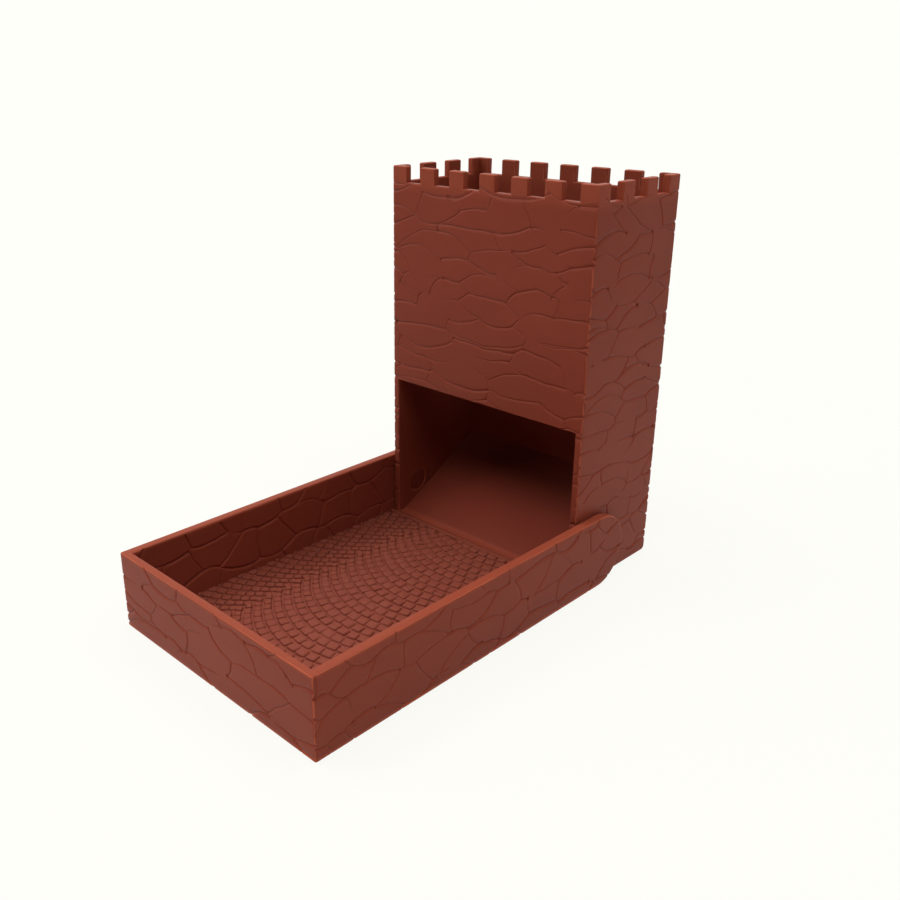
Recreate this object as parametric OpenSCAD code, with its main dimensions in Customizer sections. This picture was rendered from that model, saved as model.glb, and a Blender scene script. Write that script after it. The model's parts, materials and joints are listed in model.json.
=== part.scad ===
// Collapsible dice tower: a crenellated tower that hinges forward and lies down in its own
// walled tray. Dice drop in at the top, tumble over two baffles, run down a ramp and stop on
// the paved floor of the tray.
// Millimetres, +Z up. The origin is on the table, under the middle of the whole object.
// The tray's front faces -Y and the hinge runs along X.

/* [Tower] */
// Width of the tower, left to right
tower_w = 78; // [66:1:100]
// Depth of the tower, front to back
tower_d = 42; // [38:1:60]
// Height of the tower to the top of its merlons
tower_h = 123.5; // [105:0.5:150]
// Thickness of the tower's four walls
tower_wall = 2.4; // [2:0.1:3.2]
// Number of merlons along the front and the back
front_merlons = 7; // [3:1:9]
// Number of merlons along each side
side_merlons = 4; // [2:1:6]
// Height of a merlon above the gap beside it
merlon_h = 5; // [3:0.5:9]
// Height of the mouth that the dice leave by
mouth_h = 52.5; // [40:0.5:60]
// Radius of the rounded foot along the bottom edges
foot_r = 1.5; // [0.5:0.1:2]

/* [Tray] */
// Height of the tray's walls
tray_h = 24; // [20:0.5:32]
// Thickness of the tray's side walls
tray_side_wall = 3; // [2.6:0.1:4]
// Thickness of the tray's front wall
tray_front_wall = 2.5; // [2:0.1:4]
// Thickness of the paved floor
floor_t = 2.7; // [2:0.1:4]
// Gap between the tower and each side wall of the tray
side_gap = 0.5; // [0.3:0.1:1.5]
// Gap between the floor's rear edge and the standing tower
rear_gap = 0.5; // [0.3:0.1:1.5]
// Gap under the tower's front when it lies folded on the floor
fold_gap = 0.3; // [0.2:0.1:1.5]
// Gap between the merlons and the front wall when the tower lies folded
fold_end_gap = 2; // [1:0.1:6]

/* [Paving] */
// Width of one column of paving arcs
arc_column_w = 57; // [40:1:70]
// Place of the full column's middle, left or right of the tray's middle
arc_column_x = 4.5; // [-10:0.5:10]
// Half of the angle that one paving arc spans, in degrees
arc_half_angle = 49; // [35:1:65]
// Distance from one row of setts to the next
row_pitch = 3.75; // [3:0.05:6]
// Width of the joints between the rows
joint_w = 0.5; // [0.3:0.1:0.8]
// Depth of the joints between the rows
joint_d = 0.6; // [0.3:0.1:0.9]

/* [Hinge] */
// Distance of the hinge axis behind the tower's front face
hinge_setback = 9.5; // [8.5:0.5:12]
// Diameter of the hinge bore in the tower's side walls
bore_d = 8; // [6:0.1:9]
// Running clearance of the pin in its bore, on the radius
pin_clearance = 0.08; // [0.02:0.01:0.1]
// Diameter of the spigot that is pressed into the tray's ear
spigot_d = 4.8; // [3:0.1:5.4]
// Length of that spigot
spigot_l = 2; // [1.2:0.1:2.2]
// Clearance of the spigot in its socket, on the radius and at its end
spigot_gap = 0.02; // [0.01:0.01:0.05]
// Chamfer around the inner end of pin and bore
pin_chamfer = 0.35; // [0.1:0.05:0.6]

/* [Dice path] */
// Slope of the exit ramp, in degrees
ramp_angle = 29; // [22:1:34]
// Thickness of the ramp
ramp_t = 2; // [1.6:0.1:2.6]
// Length of the level sill at the ramp's foot
sill_l = 2.4; // [1.5:0.1:4]
// Step from the floor up to the sill
sill_step = 0.3; // [0:0.1:1]
// Gap between the table and the underside of the sill
sill_lift = 0.6; // [0.3:0.1:1]
// Thickness of the baffles
baffle_t = 2; // [1.6:0.1:3]
// Reach of each baffle from its wall
baffle_reach = 15; // [11:0.5:16]
// Slope of the baffles, in degrees
baffle_angle = 42; // [35:1:48]
// Height of the merlon gaps above the upper baffle's high edge
upper_baffle_drop = 14; // [12:0.5:20]
// Height of the upper baffle's high edge above the lower one's
baffle_step = 23; // [20:0.5:28]

/* [Panel joints] */
// Thickness of the tongues along the edges of the panels
tongue_t = 0.8; // [0.5:0.1:1]
// Length of the tongues
tongue_l = 0.8; // [0.5:0.1:1.2]
// Clearance all round a tongue in its groove
tongue_gap = 0.05; // [0.02:0.01:0.1]
// Distance from a panel's corner to the end of its tongue
tongue_inset = 1.2; // [1:0.1:3]

/* [Hidden] */
$fn = 96;
plastic = "#93492f";
plastic_dark = "#7d3b28";
// A cut's overrun past the face that it opens
over = 1;

// Heights
crenel_z = tower_h - merlon_h;
hinge_z = floor_t + fold_gap + hinge_setback;
sill_z = floor_t + sill_step;

// Places along Y: the folded tower's length sets where the tower stands behind the front wall
tray_l = tray_front_wall + fold_end_gap + tower_h - hinge_setback - hinge_z;
front_y = -(tray_l + tower_d) / 2;
floor_y = front_y + tray_front_wall;
tower_y = front_y + tray_l;
rear_y = tower_y + tower_d;
floor_end_y = tower_y - rear_gap;
hinge_y = tower_y + hinge_setback;
ear_r = tray_h / 2;
front_in_y = tower_y + tower_wall;
rear_in_y = rear_y - tower_wall;

// Places along X, as half widths
tower_x = tower_w / 2;
tower_in_x = tower_x - tower_wall;
tray_in_x = tower_x + side_gap;
tray_x = tray_in_x + tray_side_wall;

// Hinge pin
pin_r = bore_d / 2 - pin_clearance;
pin_l = side_gap + tower_wall;

// Dice path
sill_end_y = tower_y + sill_l;
ramp_reach = rear_in_y - sill_end_y;
ramp_top_z = sill_z + ramp_reach * tan(ramp_angle);
ramp_under_z = ramp_top_z - ramp_t / cos(ramp_angle);
upper_baffle_z = crenel_z - upper_baffle_drop;
lower_baffle_z = upper_baffle_z - baffle_step;

// A Y-Z outline drawn out along X, from x to x + width
module along_x(x, width) {
    translate([x, 0, 0]) rotate([90, 0, 90]) linear_extrude(width) children();
}

// An X-Z outline drawn out along Y, from y to y + depth
module along_y(y, depth) {
    translate([0, y + depth, 0]) rotate([90, 0, 0]) linear_extrude(depth) children();
}

// A copy of a left-hand piece on the right
module right_hand() {
    mirror([1, 0, 0]) children();
}

// The gaps between the merlons of one wall, from u = 0 to u = width
module crenel_gaps(width, merlons) {
    unit = width / (2 * merlons - 1);
    for (i = [0 : merlons - 2])
        translate([(2 * i + 1) * unit, crenel_z]) square([unit, merlon_h + over]);
}

// Side view of the tower: two rounded feet below, a notched top edge above
module tower_side_outline() {
    difference() {
        union() {
            translate([tower_y, foot_r]) square([tower_d, tower_h - foot_r]);
            translate([tower_y + foot_r, 0]) square([tower_d - 2 * foot_r, foot_r]);
            for (y = [tower_y + foot_r, rear_y - foot_r])
                translate([y, foot_r]) circle(foot_r);
        }
        translate([tower_y, 0]) crenel_gaps(tower_d, side_merlons);
    }
}

// Front view of the tower between its side walls, from height z up
module tower_front_outline(z) {
    difference() {
        translate([-tower_in_x, z]) square([2 * tower_in_x, tower_h - z]);
        translate([-tower_x, 0]) crenel_gaps(tower_w, front_merlons);
    }
}

// Downhill direction of a sloping plate that leaves its wall towards side (-1 front, 1 rear)
function downhill(side, angle) = [side * cos(angle), -sin(angle)];

// Direction from a sloping plate's top face to its underside
function under(side, angle) = [-side * sin(angle), -cos(angle)];

// Outline of a sloping plate, held at start on its wall
function plate_outline(start, side, angle, reach, t) =
    let (end = start + downhill(side, angle) * reach / cos(angle))
    [start, end, end + under(side, angle) * t, start - [0, t / cos(angle)]];

// Outline of the tongue in the middle of a sloping plate's thickness, grown by gap
function tongue_outline(start, side, angle, reach, t, gap) =
    let (
        ahead = downhill(side, angle),
        down = under(side, angle),
        near = start + ahead * (tongue_inset + t * tan(angle) - gap),
        far = start + ahead * (reach / cos(angle) - tongue_inset + gap),
        top = (t - tongue_t) / 2 - gap,
        bottom = (t + tongue_t) / 2 + gap
    )
    [near + down * top, far + down * top, far + down * bottom, near + down * bottom];

// The three sloping plates: start on the wall, side, angle, reach and thickness
ramp_plate = [[rear_in_y, ramp_top_z], -1, ramp_angle, ramp_reach, ramp_t];
upper_plate = [[rear_in_y, upper_baffle_z], -1, baffle_angle, baffle_reach, baffle_t];
lower_plate = [[front_in_y, lower_baffle_z], 1, baffle_angle, baffle_reach, baffle_t];

// Both end tongues of a sloping plate
module plate_tongues(plate) {
    for (x = [-tower_in_x - tongue_l, tower_in_x])
        along_x(x, tongue_l)
            polygon(tongue_outline(plate[0], plate[1], plate[2], plate[3], plate[4], 0));
}

// The groove that a sloping plate's tongue sits in, in the left wall
module plate_groove(plate) {
    depth = tongue_l + tongue_gap;
    along_x(-tower_in_x - depth, depth + over)
        polygon(tongue_outline(plate[0], plate[1], plate[2], plate[3], plate[4], tongue_gap));
}

// Both upright tongues of a front or back panel, in the middle of its thickness from y
module panel_tongues(x, y, wall, z0, z1) {
    for (x0 = [-x - tongue_l, x])
        translate([x0, y + (wall - tongue_t) / 2, z0 + tongue_inset])
            cube([tongue_l, tongue_t, z1 - z0 - 2 * tongue_inset]);
}

// The groove that a panel's tongue sits in, in the left wall
module panel_groove(x, y, wall, z0, z1) {
    depth = tongue_l + tongue_gap;
    translate([-x - depth, y + (wall - tongue_t) / 2 - tongue_gap, z0 + tongue_inset - tongue_gap])
        cube([depth + over, tongue_t + 2 * tongue_gap, z1 - z0 - 2 * tongue_inset + 2 * tongue_gap]);
}

// The floor's tongues along its two sides and its front, grown by gap
module floor_tongues(gap) {
    grown_t = tongue_t + 2 * gap;
    z = (floor_t - tongue_t) / 2 - gap;
    reach = tongue_l + gap;
    side_y = floor_y + tongue_inset - gap;
    side_l = floor_end_y - floor_y - 2 * tongue_inset + 2 * gap;
    front_x = tray_in_x - tongue_inset + gap;
    for (x = [-tray_in_x - reach, tray_in_x])
        translate([x, side_y, z]) cube([reach, side_l, grown_t]);
    translate([-front_x, floor_y - reach, z]) cube([2 * front_x, reach, grown_t]);
}

// Joints between the rows of setts: arcs that bow towards the front, one column beside another
module paving_joints() {
    half_w = arc_column_w / 2;
    arc_r = half_w / sin(arc_half_angle);
    sag = arc_r * (1 - cos(arc_half_angle));
    rows = ceil((floor_end_y - floor_y + sag) / row_pitch);
    for (column = [-1 : 1], row = [0 : rows])
        translate([arc_column_x + column * arc_column_w, floor_end_y - row * row_pitch, floor_t - joint_d])
            intersection() {
                translate([0, arc_r, 0]) difference() {
                    cylinder(r = arc_r + joint_w / 2, h = joint_d + over);
                    translate([0, 0, -over]) cylinder(r = arc_r - joint_w / 2, h = joint_d + 3 * over);
                }
                translate([-half_w, -joint_w, -over]) cube([arc_column_w, sag + 2 * joint_w, joint_d + 3 * over]);
            }
}

// Paved floor of the tray, between its walls
module tray_floor() {
    color(plastic) {
        difference() {
            translate([-tray_in_x, floor_y, 0]) cube([2 * tray_in_x, floor_end_y - floor_y, floor_t]);
            paving_joints();
        }
        floor_tongues(0);
    }
}

// Front wall of the tray, between its side walls
module tray_front_wall() {
    color(plastic) {
        difference() {
            translate([-tray_in_x, front_y, 0]) cube([2 * tray_in_x, tray_front_wall, tray_h]);
            floor_tongues(tongue_gap);
        }
        panel_tongues(tray_in_x, front_y, tray_front_wall, 0, tray_h);
    }
}

// Side view of the tray with its round ear, which is as high as the wall
module tray_side_outline() {
    translate([front_y, 0]) square([hinge_y - front_y, tray_h]);
    translate([hinge_y, ear_r]) circle(ear_r);
}

// Left wall of the tray, with the blind socket for its hinge pin
module tray_left_wall() {
    color(plastic) difference() {
        along_x(-tray_x, tray_side_wall) tray_side_outline();
        panel_groove(tray_in_x, front_y, tray_front_wall, 0, tray_h);
        floor_tongues(tongue_gap);
        translate([-tray_in_x - spigot_l - spigot_gap, hinge_y, hinge_z])
            rotate([0, 90, 0]) cylinder(d = spigot_d + 2 * spigot_gap, h = spigot_l + over);
    }
}

module tray_right_wall() {
    right_hand() tray_left_wall();
}

// Hinge pin: a spigot in the tray's ear and a wide journal through the tower's wall
module left_hinge_pin() {
    color(plastic_dark) translate([-tray_in_x, hinge_y, hinge_z]) rotate([0, 90, 0]) {
        translate([0, 0, -spigot_l]) cylinder(d = spigot_d, h = spigot_l);
        cylinder(r = pin_r, h = pin_l - pin_chamfer);
        translate([0, 0, pin_l - pin_chamfer])
            cylinder(r1 = pin_r, r2 = pin_r - pin_chamfer, h = pin_chamfer);
    }
}

module right_hinge_pin() {
    right_hand() left_hinge_pin();
}

// Front of the tower above the mouth
module tower_front_wall() {
    color(plastic) {
        along_y(tower_y, tower_wall) tower_front_outline(mouth_h);
        panel_tongues(tower_in_x, tower_y, tower_wall, mouth_h, crenel_z);
    }
}

// Back of the tower, with the same rounded foot as the side walls
module tower_back_wall() {
    color(plastic) {
        intersection() {
            along_y(rear_in_y, tower_wall) tower_front_outline(0);
            along_x(-tower_in_x, 2 * tower_in_x) union() {
                tower_side_outline();
                translate([tower_y, crenel_z]) square([tower_d, merlon_h]);
            }
        }
        panel_tongues(tower_in_x, rear_in_y, tower_wall, 0, crenel_z);
    }
}

// Left side of the tower, grooved for what it holds and bored for the hinge pin
module tower_left_wall() {
    color(plastic) difference() {
        along_x(-tower_x, tower_wall) tower_side_outline();
        panel_groove(tower_in_x, tower_y, tower_wall, mouth_h, crenel_z);
        panel_groove(tower_in_x, rear_in_y, tower_wall, 0, crenel_z);
        plate_groove(ramp_plate);
        plate_groove(upper_plate);
        plate_groove(lower_plate);
        translate([-tower_x - over, hinge_y, hinge_z]) rotate([0, 90, 0])
            cylinder(d = bore_d, h = tower_wall + 2 * over);
        translate([-tower_in_x - pin_chamfer, hinge_y, hinge_z]) rotate([0, 90, 0])
            cylinder(r1 = bore_d / 2, r2 = bore_d / 2 + 2 * pin_chamfer, h = 2 * pin_chamfer);
    }
}

module tower_right_wall() {
    right_hand() tower_left_wall();
}

// Exit ramp: a slope from the back wall down to a level sill in the mouth
module exit_ramp() {
    under_end_y = rear_in_y - (ramp_under_z - sill_lift) / tan(ramp_angle);
    color(plastic_dark) {
        along_x(-tower_in_x, 2 * tower_in_x) polygon([
            [tower_y, sill_z], [sill_end_y, sill_z], [rear_in_y, ramp_top_z],
            [rear_in_y, ramp_under_z], [under_end_y, sill_lift], [tower_y, sill_lift]
        ]);
        plate_tongues(ramp_plate);
    }
}

// A baffle: a sloping plate from one wall, held in both side walls
module baffle(plate) {
    color(plastic_dark) {
        along_x(-tower_in_x, 2 * tower_in_x)
            polygon(plate_outline(plate[0], plate[1], plate[2], plate[3], plate[4]));
        plate_tongues(plate);
    }
}

module upper_baffle() {
    baffle(upper_plate);
}

module lower_baffle() {
    baffle(lower_plate);
}

tray_floor();
tray_front_wall();
tray_left_wall();
tray_right_wall();
left_hinge_pin();
right_hinge_pin();
tower_front_wall();
tower_back_wall();
tower_left_wall();
tower_right_wall();
exit_ramp();
upper_baffle();
lower_baffle();
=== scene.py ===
# %% [markdown]
# # Collapsible dice tower
# The real object is a small brick-brown plastic castle: a tower that stands behind a walled tray and
# folds forward into it on two pins. Every outer wall carries shallow stone joints, and the tray's floor
# is a field of little setts laid in arcs. The construction is already fixed, so this lesson only dresses
# it: each panel is modelled again with soft edges and carved joints, in the place the frame gives.

# %% Load the frame
import json
import math

import bmesh
import bpy
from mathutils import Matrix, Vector
from mathutils.kdtree import KDTree


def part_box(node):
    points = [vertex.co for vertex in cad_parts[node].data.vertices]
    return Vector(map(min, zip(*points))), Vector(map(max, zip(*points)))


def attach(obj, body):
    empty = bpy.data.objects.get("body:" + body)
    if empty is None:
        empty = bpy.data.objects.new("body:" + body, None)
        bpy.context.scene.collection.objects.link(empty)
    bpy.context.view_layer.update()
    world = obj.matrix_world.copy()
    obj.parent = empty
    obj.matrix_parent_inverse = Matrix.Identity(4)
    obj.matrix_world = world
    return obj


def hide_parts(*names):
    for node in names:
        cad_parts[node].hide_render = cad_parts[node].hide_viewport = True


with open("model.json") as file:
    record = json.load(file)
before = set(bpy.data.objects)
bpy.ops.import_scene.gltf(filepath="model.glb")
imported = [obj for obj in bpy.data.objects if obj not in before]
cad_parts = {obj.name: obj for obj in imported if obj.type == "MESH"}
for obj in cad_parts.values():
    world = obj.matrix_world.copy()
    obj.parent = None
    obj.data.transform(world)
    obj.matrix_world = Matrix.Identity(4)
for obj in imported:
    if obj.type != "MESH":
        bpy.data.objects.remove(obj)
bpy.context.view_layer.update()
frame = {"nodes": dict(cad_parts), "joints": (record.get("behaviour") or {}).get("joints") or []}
MM = 0.001

# %% [markdown]
# ## Camera
# The photograph was taken from the front right and a little above, and then cropped wide on the right,
# so its optical axis is not in the middle of the picture. A camera with a small lens shift repeats that.

# %% Camera
CAMERA_PLACE = Vector((0.18478, -0.18684, 0.15245))
CAMERA_TURN = (1.2024, -0.0004, 0.7807)
FOCAL_LENGTH = 38.06
FRAME_SHIFT = (0.0461, -0.0170)

camera_data = bpy.data.cameras.new("camera")
camera_data.lens = FOCAL_LENGTH
camera_data.shift_x, camera_data.shift_y = FRAME_SHIFT
camera_data.clip_start = 0.01
camera = bpy.data.objects.new("camera", camera_data)
camera.location = CAMERA_PLACE
camera.rotation_euler = CAMERA_TURN
bpy.context.scene.collection.objects.link(camera)
bpy.context.scene.camera = camera
print("camera", round((CAMERA_PLACE - Vector((0, 0, 0.05))).length, 3), "m from the object")

# %% [markdown]
# ## Sizes
# The frame already knows where every panel is. A few boxes give the faces that everything else
# follows: the tower's outside and inside, the mouth, the tray's rim and the hinge axis.

# %% Sizes from the frame
left_low, left_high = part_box("tower_left_wall")
header_low, header_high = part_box("tower_front_wall")
tray_low, tray_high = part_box("tray_left_wall")
_, sill_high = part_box("tray_front_wall")
_, paving_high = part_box("tray_floor")
hinge = Vector(frame["joints"][0]["pos_m"])

tower_x, tower_in_x = -left_low.x, -left_high.x
tower_y, rear_y = left_low.y, left_high.y
tower_h, mouth_z = left_high.z, header_low.z
tower_wall = header_high.y - header_low.y
tray_x, tray_in_x = -tray_low.x, -tray_high.x
front_y, front_in_y = tray_low.y, sill_high.y
tray_h, ear_end_y = tray_high.z, tray_high.y
floor_end_y, floor_top = paving_high.y, paving_high.z

FRONT_MERLONS = 7
SIDE_MERLONS = 4
MERLON_H = 5 * MM
FOOT_R = 1.5 * MM
BORE_R = 4 * MM
crenel_z = tower_h - MERLON_H
print("tower", [round(side / MM, 1) for side in (2 * tower_x, rear_y - tower_y, tower_h)], "mm")

# %% [markdown]
# ## Helpers
# A few small helpers do the work everywhere. One adds a node to any node tree, one turns a flat outline
# into a solid, one freezes an object and its modifiers into a plain mesh, and one rounds edges. Another
# marks the crowns of the rounded edges, where the plastic paints a highlight. The last ones shade a piece,
# weld away the slivers that cutting leaves and say what the finished piece stands for.


# %% Helpers
# The kinds of node that are used most
MATH = "ShaderNodeMath"
VECTOR_MATH = "ShaderNodeVectorMath"
RANDOM = "FunctionNodeRandomValue"
SEPARATE = "ShaderNodeSeparateXYZ"
COMBINE = "ShaderNodeCombineXYZ"


def add_node(tree, kind, links=None, **settings):
    """Adds a node. Settings are its properties; links gives inputs a node, a socket or a value."""
    made = tree.nodes.new(kind)
    for name, value in settings.items():
        setattr(made, name, value)
    for name, value in (links or {}).items():
        socket = next(s for i, s in enumerate(made.inputs) if name in (i, s.name) and s.enabled)
        if isinstance(value, bpy.types.Node):
            value = next(s for s in value.outputs if s.enabled)
        if isinstance(value, bpy.types.NodeSocket):
            tree.links.new(value, socket)
        else:
            socket.default_value = value
    return made


def new_piece(name, build):
    """Makes a mesh object from a bmesh, which is used up."""
    mesh = bpy.data.meshes.new(name)
    build.to_mesh(mesh)
    build.free()
    piece = bpy.data.objects.new(name, mesh)
    bpy.context.scene.collection.objects.link(piece)
    return piece


def prism(name, outline, place, low, high):
    """A solid with the given outline: place(u, v, w) gives a point, and w runs from low to high."""
    build = bmesh.new()
    near = [build.verts.new(place(u, v, low)) for u, v in outline]
    far = [build.verts.new(place(u, v, high)) for u, v in outline]
    build.faces.new(near)
    build.faces.new(far)
    for i in range(len(outline)):
        j = (i + 1) % len(outline)
        build.faces.new((near[i], near[j], far[j], far[i]))
    bmesh.ops.recalc_face_normals(build, faces=build.faces)
    return new_piece(name, build)


def along_x(u, v, w):
    """Stands an outline up, front to back and upwards, with w across."""
    return Vector((w, u, v))


def block(name, low, high):
    """A plain box between two corners."""
    outline = [(low[1], low[2]), (high[1], low[2]), (high[1], high[2]), (low[1], high[2])]
    return prism(name, outline, along_x, low[0], high[0])


def arc(centre, radius, start, end, steps):
    """Points on a circle from start to end, in degrees."""
    angles = [math.radians(start + (end - start) * i / steps) for i in range(steps + 1)]
    return [(centre[0] + radius * math.cos(a), centre[1] + radius * math.sin(a)) for a in angles]


def freeze(piece):
    """Replaces an object's mesh by its evaluated one and drops its modifiers."""
    evaluated = piece.evaluated_get(bpy.context.evaluated_depsgraph_get())
    mesh = bpy.data.meshes.new_from_object(evaluated)
    piece.modifiers.clear()
    piece.data = mesh
    return piece


def discard(*pieces):
    """Removes objects that have been used up."""
    for piece in pieces:
        bpy.data.objects.remove(piece)


def combine(piece, operation, *tools, solver="EXACT"):
    """Cuts, joins or trims a piece with other solids, which are used up."""
    for tool in tools:
        modifier = piece.modifiers.new(tool.name, "BOOLEAN")
        modifier.operation = operation
        modifier.object = tool
        modifier.solver = solver
    freeze(piece)
    discard(*tools)
    return piece


SHARP_EDGE = math.radians(40)
EDGE_FACETS = 2


def soften(piece, width):
    """Rounds every sharp outer edge of a piece a little, as a mould or a nozzle does."""
    build = bmesh.new()
    build.from_mesh(piece.data)
    sharp = [e for e in build.edges if e.is_convex and e.calc_face_angle(0) > SHARP_EDGE]
    bmesh.ops.bevel(build, geom=sharp, offset=width, segments=EDGE_FACETS, profile=0.5, affect="EDGES",
                    clamp_overlap=True)
    build.to_mesh(piece.data)
    build.free()
    return piece


# The two facets of a rounded square edge lean this far from either face, as parts of their normals
FACET_LEANS = {math.cos(math.radians(22.5)), math.sin(math.radians(22.5))}
LEAN_SLACK = 0.005


def mark_edges(piece):
    """Stores a mark on each point: 1 on an edge's crown, where its two facets meet, 0 elsewhere. The
    plastic paints a highlight on the marks.
    """
    build = bmesh.new()
    build.from_mesh(piece.data)
    mark = build.verts.layers.float.new("edge")
    for point in build.verts:
        around = sum((edge.other_vert(point).co - point.co for edge in point.link_edges), Vector())
        on_crown = False
        for axis in range(3):
            parts = [abs(face.normal[axis]) for face in point.link_faces]
            leans = {lean for lean in FACET_LEANS for part in parts if abs(part - lean) < LEAN_SLACK}
            on_crown = on_crown or leans == FACET_LEANS
        point[mark] = float(on_crown and around.dot(point.normal) < 0)
    build.to_mesh(piece.data)
    build.free()


def polish(piece, crease):
    """Shades rounded edges smoothly, and keeps flat faces flat and creases, in degrees, sharp."""
    piece.data.shade_smooth()
    piece.data.set_sharp_from_angle(angle=math.radians(crease))
    modifier = piece.modifiers.new("flat_faces", "WEIGHTED_NORMAL")
    modifier.keep_sharp = True
    return freeze(piece)


WELD = 0.0002 * MM


def weld(piece):
    """Makes a mesh triangles, and makes points one that all but touch, so that no sliver is left of the
    cutting. Triangles that this folds flat, or lays back to back, go, and the mesh stays closed."""
    old = piece.data
    finder = KDTree(len(old.vertices))
    for point in old.vertices:
        finder.insert(point.co, point.index)
    finder.balance()
    stand_in = {}
    for point in old.vertices:
        if point.index not in stand_in:
            for _, number, _ in finder.find_range(point.co, WELD):
                stand_in.setdefault(number, point.index)
    kept = {}
    old.calc_loop_triangles()
    for triangle in old.loop_triangles:
        corners = [stand_in[number] for number in triangle.vertices]
        points = frozenset(corners)
        if points in kept:
            del kept[points]
        elif len(points) == 3:
            kept[points] = (corners, tuple(triangle.loops))
    used = sorted({number for corners, _ in kept.values() for number in corners})
    place = {number: i for i, number in enumerate(used)}
    mesh = bpy.data.meshes.new(piece.name)
    mesh.from_pydata([old.vertices[number].co for number in used], [],
                     [[place[number] for number in corners] for corners, _ in kept.values()])
    if "edge" in old.attributes:
        mark = mesh.attributes.new("edge", "FLOAT", "POINT")
        for number, i in place.items():
            mark.data[i].value = old.attributes["edge"].data[number].value
    mesh.materials.append(next(material for material in old.materials if material))
    mesh.normals_split_custom_set(
        [old.corner_normals[loop].vector for _, loops in kept.values() for loop in loops])
    piece.data = mesh


WALL_CREASE = 38


def finish_piece(piece, body, node, crease=WALL_CREASE):
    """Shades and welds a finished piece, and says which body it rides on and which node it stands for."""
    polish(piece, crease)
    weld(piece)
    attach(piece, body)
    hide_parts(node)
    print(piece.name, len(piece.data.polygons), "faces")


# %% [markdown]
# ## Plastic
# The real thing is a matt thermoplastic coloured right through, a warm brick brown. It has no paint:
# the face is slightly satin, thin edges let a little light through and glow orange, and the tone drifts
# softly over a wall. Here that glow, and the light that the feet and the sill catch, are painted light: a
# lighter orange painted on edge crowns and on bands of height. One function does for every piece, with the
# drift and the grain in millimetres.


# %% Plastic
def linear(hex_colour):
    """An sRGB hex colour as linear RGBA."""
    channels = [int(hex_colour[i:i + 2], 16) / 255 for i in (1, 3, 5)]
    return [c / 12.92 if c <= 0.04045 else ((c + 0.055) / 1.055) ** 2.4 for c in channels] + [1]


BRICK_LIGHT = "#8b402f"
BRICK_DARK = "#813a2b"
SETT_LIGHT = "#894637"
SETT_DARK = "#7f3f32"
RAMP_LIGHT = "#7d372a"
RAMP_DARK = "#753326"
# Painted light: the lighter orange that is painted on edge crowns and on the bands of painted glow
PAINTED_LIGHT_COLOUR = "#b85c41"
DRIFT_SIZE = 22 * MM
GRAIN_SIZE = 0.6 * MM
GRAIN_DEPTH = 0.05 * MM
WALL_GRIT = 0.2
SETT_GRIT = 0.6
WALL_ROUGHNESS = 0.4
SETT_ROUGHNESS = 0.45
RAMP_ROUGHNESS = 0.3
SHEEN = 0.07
LIGHT_INSIDE = 0.12
LIGHT_REACH = 0.8 * MM
LIGHT_REACH_RGB = (1.0, 0.2, 0.1)
# Strength of the painted glow on thin merlon tops and tray rims
PAINTED_THIN_GLOW = 0.25
# Strength of the painted glow along the feet, for light thrown up from the white ground
PAINTED_FOOT_GLOW = 0.8
# Strength of the painted highlight on the level sill
PAINTED_SILL_HIGHLIGHT = 0.18


def brick_plastic(name, light, dark, roughness, painted_bands, grit=WALL_GRIT):
    """Matt coloured plastic: a soft sheen, tone that drifts, grain of some grit and painted orange
    highlights on edge crowns. Each band gives two heights and a strength: from one to the other, painted
    glow rises to it."""
    material = bpy.data.materials.new(name)
    material.use_nodes = True
    tree = material.node_tree
    shader = tree.nodes["Principled BSDF"]
    spot = add_node(tree, "ShaderNodeTexCoord").outputs["Object"]
    drift = add_node(tree, "ShaderNodeTexNoise", {"Vector": spot, "Scale": 1 / DRIFT_SIZE, "Detail": 3.0})
    grain = add_node(tree, "ShaderNodeTexNoise", {"Vector": spot, "Scale": 1 / GRAIN_SIZE, "Detail": 2.0})
    tone = add_node(tree, "ShaderNodeMix", {
        "Factor": drift, "A": linear(dark), "B": linear(light)}, data_type="RGBA")
    # Painted light: a mask of marked edge crowns and of height bands, where the tone is mixed towards a
    # lighter orange
    painted_light = add_node(tree, "ShaderNodeAttribute", attribute_name="edge").outputs["Fac"]
    height = add_node(tree, SEPARATE, {0: spot}).outputs["Z"]
    for begin, end, most in painted_bands:
        painted_band = add_node(tree, "ShaderNodeMapRange", {
            "Value": height, "From Min": begin, "From Max": end, "To Max": most})
        painted_light = add_node(tree, MATH, {0: painted_light, 1: painted_band}, operation="MAXIMUM")
    glow = add_node(tree, "ShaderNodeMix", {
        "Factor": painted_light, "A": tone, "B": linear(PAINTED_LIGHT_COLOUR)}, data_type="RGBA")
    bump = add_node(tree, "ShaderNodeBump", {"Height": grain, "Strength": grit, "Distance": GRAIN_DEPTH})
    tree.links.new(glow.outputs["Result"], shader.inputs["Base Color"])
    tree.links.new(bump.outputs["Normal"], shader.inputs["Normal"])
    shader.inputs["Roughness"].default_value = roughness
    shader.inputs["Specular IOR Level"].default_value = SHEEN
    shader.inputs["Subsurface Weight"].default_value = LIGHT_INSIDE
    shader.inputs["Subsurface Radius"].default_value = LIGHT_REACH_RGB
    shader.inputs["Subsurface Scale"].default_value = LIGHT_REACH
    return material


# Painted glow on thin merlon tops and tray rims, as if light came through the thin plastic
merlon_painted_glow = (crenel_z - 3 * MM, crenel_z + MM, PAINTED_THIN_GLOW)
rim_painted_glow = (tray_h - 1.2 * MM, tray_h - 0.2 * MM, PAINTED_THIN_GLOW)
# Painted glow along the feet, for light thrown up from the white ground
foot_painted_glow = (1.4 * MM, 0.3 * MM, PAINTED_FOOT_GLOW)
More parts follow.
